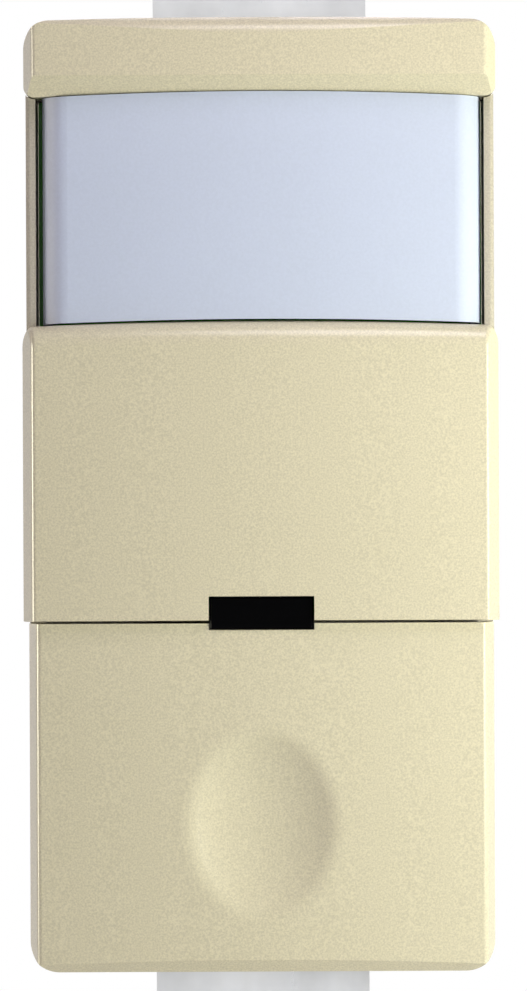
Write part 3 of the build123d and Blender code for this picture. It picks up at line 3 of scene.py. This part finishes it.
import bpy
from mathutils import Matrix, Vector


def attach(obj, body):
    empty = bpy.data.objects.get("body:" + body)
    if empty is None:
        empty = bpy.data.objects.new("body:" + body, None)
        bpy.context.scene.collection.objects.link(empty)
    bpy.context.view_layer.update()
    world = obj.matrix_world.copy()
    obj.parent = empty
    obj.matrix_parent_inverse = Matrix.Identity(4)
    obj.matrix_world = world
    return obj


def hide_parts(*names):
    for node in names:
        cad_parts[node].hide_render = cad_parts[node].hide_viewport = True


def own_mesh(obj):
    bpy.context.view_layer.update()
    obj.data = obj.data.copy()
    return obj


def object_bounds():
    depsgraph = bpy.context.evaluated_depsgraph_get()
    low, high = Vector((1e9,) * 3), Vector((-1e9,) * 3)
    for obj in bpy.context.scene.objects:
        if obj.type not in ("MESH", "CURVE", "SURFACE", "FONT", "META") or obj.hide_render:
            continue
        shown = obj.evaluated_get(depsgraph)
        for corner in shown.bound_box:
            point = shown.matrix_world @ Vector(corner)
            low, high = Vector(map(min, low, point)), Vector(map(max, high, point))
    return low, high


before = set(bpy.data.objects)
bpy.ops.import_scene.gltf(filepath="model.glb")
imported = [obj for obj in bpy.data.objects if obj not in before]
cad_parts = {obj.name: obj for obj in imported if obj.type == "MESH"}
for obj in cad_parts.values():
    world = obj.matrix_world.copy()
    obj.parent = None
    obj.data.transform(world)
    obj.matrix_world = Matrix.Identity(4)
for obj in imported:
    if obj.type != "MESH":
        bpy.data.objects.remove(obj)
cad_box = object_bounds()

WHITE = (1, 1, 1, 1)

# The photograph's frame, measured at the face of the object, in metres and degrees
PHOTO_HEIGHT = 0.06868
CAMERA_DISTANCE = 0.417
FACE_Y = -0.0085
AIM_X = 0.00017
AIM_Z = -0.0001
CAMERA_ROLL = 0.25
SENSOR_MM = 36.0
CLIP_START = 0.01
CLIP_END = 20.0

# Light: a level everywhere, then soft lamps, each with its place, width, power and tint
WORLD_LEVEL = 0.05
LAMPS = {
    "right_near": ((0.10, -0.06, 0.01), 0.05, 0.042, (1.0, 0.98, 0.40)),
    "right_low": ((0.09, -0.07, -0.003), 0.05, 0.088, (0.91, 0.93, 1.0)),
    "left": ((-0.28, -0.02, 0.03), 0.14, 0.17, (1.0, 0.85, 0.86)),
    "top": ((0.02, -0.06, 0.12), 0.06, 0.073, (1.0, 0.91, 1.0)),
    "right_edge": ((0.25, 0.28, 0.10), 0.20, 0.06, (1.0, 0.97, 0.10)),
    "back": ((0.0, 0.42, 0.14), 0.24, 1.1, (1.0, 1.0, 1.0)),
}
# The lamp that only draws the highlight along rounded edges on the left
EDGE_LAMP = ((-0.277, -0.04, 0.0), 0.12, 1.1, (1.0, 0.97, 0.72))

# Floor: it shows shading and shadow near the object, and is plain white further out
FLOOR_RADIUS = 2.5
FLOOR_SIDES = 96
FLOOR_NEAR = 0.03
FLOOR_FAR = 0.12
FLOOR_COLOUR = (0.88, 0.88, 0.87, 1)
FLOOR_ROUGHNESS = 0.9

# Plastic: the sizes in metres of its pebbles, glossier patches and slow drift of tone
PEBBLE_SIZE = 0.00025
PATCH_SIZE = 0.0018
DRIFT_SIZE = 0.009
DRIFT_TINT = (0.985, 0.985, 0.98, 1)

# Metal: the sizes in metres of its drawn lines and stains, the lines' depth, and its gloss
LINE_SIZE = 0.0006
LINE_DEPTH = 0.000003
STAIN_SIZE = 0.004
METAL_ROUGH = (0.25, 0.4)

# The spans of a noise's value that fine grain and broad patches use
GRAIN_SPAN = (0.35, 0.65)
PATCH_SPAN = (0.3, 0.7)

# Plastics by the record's slots, as sRGB colours; the front housing gets a duller copy of the
# ivory, darkened as painted shade
PLASTICS = {
    "ivory_plastic": {
        "colour": (218, 211, 184),
        "grain": 0.115,
        "grain_size": 0.00013,
        "rough": (0.262, 0.272),
    },
    # A darker, greyer copy of the ivory: its darkness is painted shade for the recessed rails and
    # frame
    "ivory_dull_painted_shade": {
        "colour": (192, 186, 171),
        "grain": 0.115,
        "grain_size": 0.00013,
        "rough": (0.6, 0.7),
        "shine": 0.2,
    },
    "lens_plastic": {
        "colour": (204, 214, 236),
        "grain": 0.02,
        "grain_size": 0.0002,
        "pebble_depth": 0.000002,
        "rough": (0.55, 0.6),
        "shine": 0.25,
    },
    "smoked_plastic": {"colour": (3, 3, 4), "grain": 0.2, "rough": (0.3, 0.4), "shine": 0.02},
    "housing_plastic": {"colour": (226, 223, 212), "rough": (0.5, 0.62)},
    "board_green": {"colour": (70, 172, 44), "grain": 0.08, "rough": (0.25, 0.4)},
    "insulator_grey": {"colour": (150, 154, 156)},
    "filter_dark": {"colour": (50, 36, 40), "rough": (0.08, 0.15)},
    "black_plastic": {"colour": (38, 38, 39), "grain": 0.1},
    "white_plastic": {"colour": (238, 238, 234)},
    "blue_plastic": {"colour": (60, 96, 158)},
    "led_clear": {"colour": (222, 230, 222), "rough": (0.08, 0.14)},
    "relay_blue": {"colour": (66, 104, 166), "rough": (0.3, 0.4)},
    "film_yellow": {"colour": (224, 196, 66), "rough": (0.28, 0.36)},
    "can_black": {"colour": (34, 38, 54), "rough": (0.25, 0.35)},
    "varistor_red": {"colour": (176, 72, 48), "rough": (0.25, 0.35)},
}

# Metals by the record's slots, as linear colours
METALS = {
    "zinc_steel": {"colour": (0.68, 0.69, 0.71), "brush": (1, 1, 0.08), "grain": 0.1},
    "can_metal": {"colour": (0.80, 0.78, 0.72)},
    "brass": {"colour": (0.78, 0.60, 0.28)},
    "ground_green": {"colour": (0.06, 0.40, 0.16)},
    "steel_dark": {"colour": (0.45, 0.46, 0.48)},
    "spring_steel": {"colour": (0.62, 0.63, 0.66)},
    "winding_copper": {"colour": (0.72, 0.36, 0.20)},
}


def linear(colour):
    """A colour given as 0 to 255 sRGB, as Blender's linear RGB."""
    def channel(value):
        c = value / 255
        return c / 12.92 if c <= 0.04045 else ((c + 0.055) / 1.055) ** 2.4

    return tuple(channel(value) for value in colour)


def scaled(colour, factor):
    return tuple(min(1.0, c * factor) for c in colour) + (1.0,)


class Material:
    """A material's node tree, with short calls for the nodes that the finishes here use."""

    def __init__(self, name):
        self.material = bpy.data.materials.new(name)
        self.material.use_nodes = True
        self.tree = self.material.node_tree
        self.tree.nodes.clear()
        self.output = self.tree.nodes.new("ShaderNodeOutputMaterial")
        self.shader = self.tree.nodes.new("ShaderNodeBsdfPrincipled")
        self.link(self.shader.outputs[0], self.output.inputs["Surface"])

    def link(self, source, target):
        self.tree.links.new(source, target)

    def set(self, **values):
        for name, value in values.items():
            self.shader.inputs[name.replace("_", " ")].default_value = value

    def coordinates(self, stretch):
        place = self.tree.nodes.new("ShaderNodeTexCoord")
        mapping = self.tree.nodes.new("ShaderNodeMapping")
        mapping.inputs["Scale"].default_value = stretch
        self.link(place.outputs["Object"], mapping.inputs["Vector"])
        return mapping.outputs[0]

    def noise(self, size, detail=2.0, roughness=0.5, stretch=(1, 1, 1)):
        """Noise whose features are about size metres across."""
        node = self.tree.nodes.new("ShaderNodeTexNoise")
        node.inputs["Scale"].default_value = 1 / size
        node.inputs["Detail"].default_value = detail
        node.inputs["Roughness"].default_value = roughness
        self.link(self.coordinates(stretch), node.inputs["Vector"])
        return node.outputs["Fac"]

    def ramp(self, value, span, low, high):
        """The colour low to high as value goes through span."""
        node = self.tree.nodes.new("ShaderNodeValToRGB")
        for element, position, colour in zip(node.color_ramp.elements, span, (low, high)):
            element.position = position
            element.color = colour
        self.link(value, node.inputs["Fac"])
        return node.outputs["Color"]

    def range(self, value, span, low, high):
        """The number low to high as value goes through span."""
        node = self.tree.nodes.new("ShaderNodeMapRange")
        limits = {"From Min": span[0], "From Max": span[1], "To Min": low, "To Max": high}
        for name, limit in limits.items():
            node.inputs[name].default_value = limit
        self.link(value, node.inputs["Value"])
        return node.outputs["Result"]

    def multiply(self, colour, shade):
        node = self.tree.nodes.new("ShaderNodeMix")
        node.data_type = "RGBA"
        node.blend_type = "MULTIPLY"
        node.inputs[0].default_value = 1.0
        self.link(colour, node.inputs[6])
        self.link(shade, node.inputs[7])
        return node.outputs[2]

    def bump(self, height, depth):
        node = self.tree.nodes.new("ShaderNodeBump")
        node.inputs["Distance"].default_value = depth
        node.inputs["Strength"].default_value = 1.0
        self.link(height, node.inputs["Height"])
        return node.outputs["Normal"]

    def finish(self, colour, roughness, normal):
        sources = {"Base Color": colour, "Roughness": roughness, "Normal": normal}
        for name, source in sources.items():
            self.link(source, self.shader.inputs[name])
        return self.material


def moulded_plastic(
    name,
    colour,
    grain=0.03,
    grain_size=0.00012,
    pebble_depth=0.000004,
    rough=(0.42, 0.52),
    shine=0.4,
):
    """Moulded plastic: fine mottle, slow tone drift, and a pebbled skin."""
    m = Material(name + "_finish")
    colour = linear(colour)
    fine = m.noise(grain_size, detail=3.0, roughness=0.6)
    tone = m.ramp(fine, GRAIN_SPAN, scaled(colour, 1 - grain), scaled(colour, 1 + grain))
    drift = m.ramp(m.noise(DRIFT_SIZE), PATCH_SPAN, DRIFT_TINT, WHITE)
    m.set(Metallic=0.0, Specular_IOR_Level=shine)
    return m.finish(
        m.multiply(tone, drift),
        m.range(m.noise(PATCH_SIZE, detail=4.0), PATCH_SPAN, *rough),
        m.bump(m.noise(PEBBLE_SIZE), pebble_depth),
    )


def plated_metal(name, colour, brush=(1, 1, 12), grain=0.05):
    """Plated or plain metal with a drawn grain and a few stains."""
    m = Material(name + "_finish")
    lines = m.noise(LINE_SIZE, detail=4.0, roughness=0.7, stretch=brush)
    stains = m.noise(STAIN_SIZE, detail=5.0)
    tone = m.ramp(stains, PATCH_SPAN, scaled(colour, 1 - grain), scaled(colour, 1 + grain))
    m.set(Metallic=1.0)
    return m.finish(tone, m.range(lines, PATCH_SPAN, *METAL_ROUGH), m.bump(lines, LINE_DEPTH))


def dress_cad_nodes():
    """Gives every CAD node the finish of its slot, and the front housing a duller ivory darkened
    as painted shade.
    """
    finishes = {name: moulded_plastic(name, **look) for name, look in PLASTICS.items()}
    finishes.update({name: plated_metal(name, **look) for name, look in METALS.items()})
    for node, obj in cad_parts.items():
        for slot in obj.material_slots:
            name = slot.material.name.split(".")[0]
            # The front housing takes the ivory copy that is darkened as painted shade
            slot.material = finishes["ivory_dull_painted_shade" if node == "front_housing" else name]


def make_return_spring():
    """The wire spring under the button, as a copy of its CAD mesh on the device body; the CAD
    node is hidden.
    """
    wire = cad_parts["return_spring"].data.copy()
    spring = bpy.data.objects.new("return_spring_wire", wire)
    bpy.context.scene.collection.objects.link(spring)
    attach(spring, "device")
    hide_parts("return_spring")
    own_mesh(spring)


def add_area_light(name, place, size, power, colour):
    """A round lamp that faces the object and that the camera doesn't see."""
    data = bpy.data.lights.new(name, "AREA")
    data.shape = "DISK"
    data.size = size
    data.energy = power
    data.color = colour
    lamp = bpy.data.objects.new(name, data)
    bpy.context.scene.collection.objects.link(lamp)
    lamp.location = place
    lamp.rotation_euler = (-Vector(place)).to_track_quat("-Z", "Y").to_euler()
    lamp.visible_camera = False
    return lamp


def combine(tree, operation, a, b):
    """Two values joined by a Math node."""
    node = tree.nodes.new("ShaderNodeMath")
    node.operation = operation
    tree.links.new(a, node.inputs[0])
    tree.links.new(b, node.inputs[1])
    return node.outputs[0]


def seen_directly(tree):
    """1 for rays that show the background: from the camera, a reflection or through glass."""
    path = tree.nodes.new("ShaderNodeLightPath")
    seen = path.outputs["Is Camera Ray"]
    for name in ("Is Glossy Ray", "Is Transmission Ray"):
        seen = combine(tree, "MAXIMUM", seen, path.outputs[name])
    return seen


def glow(tree, kind, strength):
    """White light of that strength, from a Background or Emission node."""
    node = tree.nodes.new(kind)
    node.inputs["Color"].default_value = WHITE
    node.inputs["Strength"].default_value = strength
    return node.outputs[0]


def mix_shaders(tree, factor, first, second):
    node = tree.nodes.new("ShaderNodeMixShader")
    for socket, source in zip(node.inputs, (factor, first, second)):
        tree.links.new(source, socket)
    return node.outputs[0]


def make_world():
    """A low even level of light, behind a background that is seen as white."""
    world = bpy.data.worlds.new("studio")
    bpy.context.scene.world = world
    world.use_nodes = True
    tree = world.node_tree
    tree.nodes.clear()
    ambient = glow(tree, "ShaderNodeBackground", WORLD_LEVEL)
    white = glow(tree, "ShaderNodeBackground", 1.0)
    output = tree.nodes.new("ShaderNodeOutputWorld")
    mixed = mix_shaders(tree, seen_directly(tree), ambient, white)
    tree.links.new(mixed, output.inputs["Surface"])


def make_floor():
    """A round floor under the object that keeps its shadow and turns plain white further out."""
    bpy.ops.mesh.primitive_circle_add(
        vertices=FLOOR_SIDES, radius=FLOOR_RADIUS, fill_type="NGON", location=(0, 0, cad_box[0].z)
    )
    floor = bpy.context.object
    floor.name = "floor"
    m = Material("floor_white")
    m.set(Base_Color=FLOOR_COLOUR, Roughness=FLOOR_ROUGHNESS)
    geometry = m.tree.nodes.new("ShaderNodeNewGeometry")
    length = m.tree.nodes.new("ShaderNodeVectorMath")
    length.operation = "LENGTH"
    m.link(geometry.outputs["Position"], length.inputs[0])
    far = m.range(length.outputs["Value"], (FLOOR_NEAR, FLOOR_FAR), 0.0, 1.0)
    factor = combine(m.tree, "MULTIPLY", far, seen_directly(m.tree))
    white = glow(m.tree, "ShaderNodeEmission", 1.0)
    m.link(mix_shaders(m.tree, factor, m.shader.outputs[0], white), m.output.inputs["Surface"])
    floor.data.materials.append(m.material)


def make_camera():
    """The camera that takes the photograph's frame, square on to the face."""
    data = bpy.data.cameras.new("photo_camera")
    data.sensor_width = SENSOR_MM
    data.lens = SENSOR_MM * CAMERA_DISTANCE / PHOTO_HEIGHT
    data.clip_start = CLIP_START
    data.clip_end = CLIP_END
    camera = bpy.data.objects.new("photo_camera", data)
    bpy.context.scene.collection.objects.link(camera)
    camera.location = (AIM_X, FACE_Y - CAMERA_DISTANCE, AIM_Z)
    camera.rotation_euler = (math.radians(90), math.radians(CAMERA_ROLL), 0)
    bpy.context.scene.camera = camera


dress_cad_nodes()
make_return_spring()
make_world()
make_floor()
for lamp_name, settings in LAMPS.items():
    add_area_light(lamp_name, *settings)
add_area_light("edge", *EDGE_LAMP).visible_diffuse = False
make_camera()
bpy.context.scene.view_settings.view_transform = "Standard"
